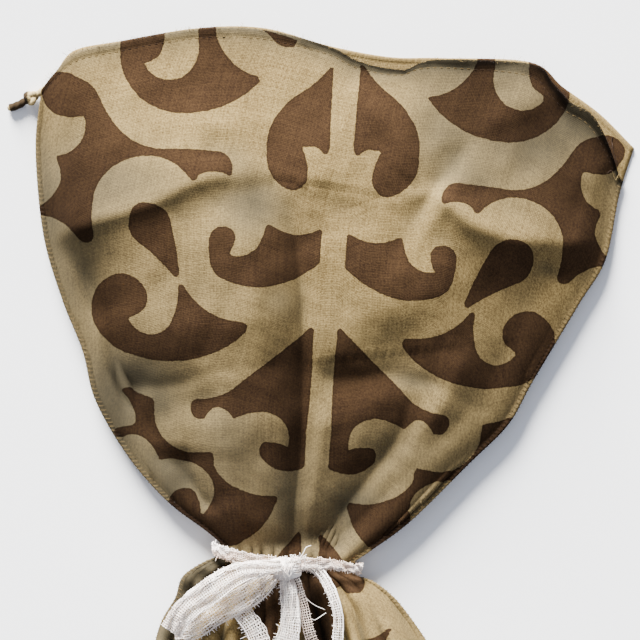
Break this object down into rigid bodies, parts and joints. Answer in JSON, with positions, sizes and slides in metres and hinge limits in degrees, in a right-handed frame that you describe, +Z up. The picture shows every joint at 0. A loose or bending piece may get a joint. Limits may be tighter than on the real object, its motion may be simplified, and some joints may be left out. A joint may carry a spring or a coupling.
{
  "type": "burlap drawstring bag",
  "caption": "Burlap drawstring bag lying on its back, mouth open, waist gathered and tied with a gauze ribbon bow, bottom closed by a seam",
  "frame": {"origin": "the middle of the bag's footprint, on the surface that it lies on, without the drawcord's stub", "axes": "+X to the bag's right seen from above, +Y from the closed bottom to the open mouth, +Z up through the front panel"},
  "size_m": [0.3136, 0.4089, 0.0314],
  "materials": {
    "burlap": "printed plain-weave burlap",
    "gauze": "open-weave cotton gauze",
    "cord": "twisted cotton cord"
  },
  "bodies": {
    "root": {"bag_front": "burlap", "bag_back": "burlap", "tie_band": "gauze", "tie_knot": "gauze", "tie_loop_left": "gauze", "tie_loop_right": "gauze", "tie_tail_centre": "gauze", "tie_tail_left": "gauze", "drawcord": "cord", "drawcord_knot": "cord", "drawcord_end": "cord"}
  },
  "joints": []
}
